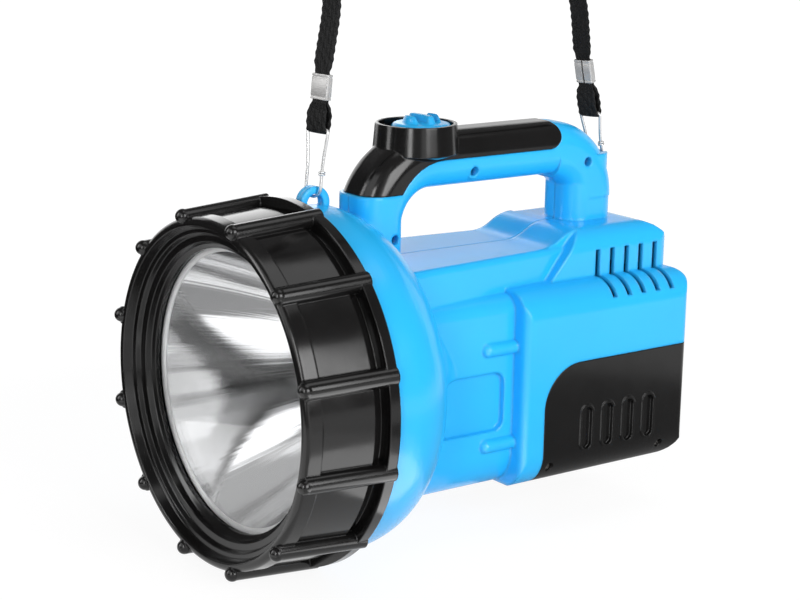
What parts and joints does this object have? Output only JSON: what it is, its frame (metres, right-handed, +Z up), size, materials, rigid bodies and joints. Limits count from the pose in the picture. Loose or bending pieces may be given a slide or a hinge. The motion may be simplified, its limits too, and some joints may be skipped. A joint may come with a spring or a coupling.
{
  "type": "handheld searchlight",
  "caption": "Rechargeable handheld searchlight with a ribbed round head, mirror reflector, bridge handle, thumb slider, charge port and hooked carrying strap.",
  "frame": {"origin": "below the middle of the lamp without its strap, on the plane under the head's lowest ribs", "axes": "+Y runs from the lens to the rear of the box along the lamp axis, +Z is up, X is across"},
  "size_m": [0.1866, 0.2806, 0.3659],
  "materials": {
    "blue_plastic": "glossy moulded blue",
    "black_plastic": "glossy moulded black",
    "clear_lens": "clear, polished",
    "gasket_rubber": "matt black rubber",
    "mirror_coat": "bright vacuum-coated mirror",
    "white_board": "white solder mask",
    "led_dome": "yellow phosphor under a clear dome",
    "sink_metal": "plain extruded",
    "switch_body": "matt black",
    "cell_wrap": "green shrink wrap over a metal can",
    "circuit_board": "green solder mask",
    "flap_plastic": "satin black",
    "steel": "zinc plated",
    "wire_steel": "bright plated wire",
    "crimp_metal": "bright pressed sheet",
    "woven_strap": "woven black webbing"
  },
  "bodies": {
    "lamp": {"bezel_ring": "black_plastic", "lens": "clear_lens", "lens_gasket": "gasket_rubber", "reflector": "mirror_coat", "led_board": "white_board", "led_emitter": "led_dome", "heat_sink": "sink_metal", "left_shell": "blue_plastic", "right_shell": "blue_plastic", "handle_cover": "black_plastic", "slide_switch": "switch_body", "base_cover": "black_plastic", "battery_cells": "cell_wrap", "battery_holders": "switch_body", "driver_board": "circuit_board", "charge_frame": "black_plastic", "charge_jack": "switch_body", "flap_pin": "steel", "handle_screws": "steel", "base_screws": "steel", "front_hook": "wire_steel", "rear_hook": "wire_steel", "front_loop": "woven_strap", "rear_loop": "woven_strap", "front_crimp": "crimp_metal", "rear_crimp": "crimp_metal", "strap_webbing": "woven_strap"},
    "slider": {"switch_slider": "blue_plastic"},
    "flap": {"charge_flap": "flap_plastic"}
  },
  "joints": [
    {"name": "switch_slide", "type": "slide", "parent": "lamp", "child": "slider", "axis": [0, -1, 0], "range_m": [0, 0.0065]},
    {"name": "flap_hinge", "type": "hinge", "parent": "lamp", "child": "flap", "pos_m": [0, 0.1381, 0.12267], "axis": [1, 0, 0], "range_deg": [0, 150]}
  ]
}
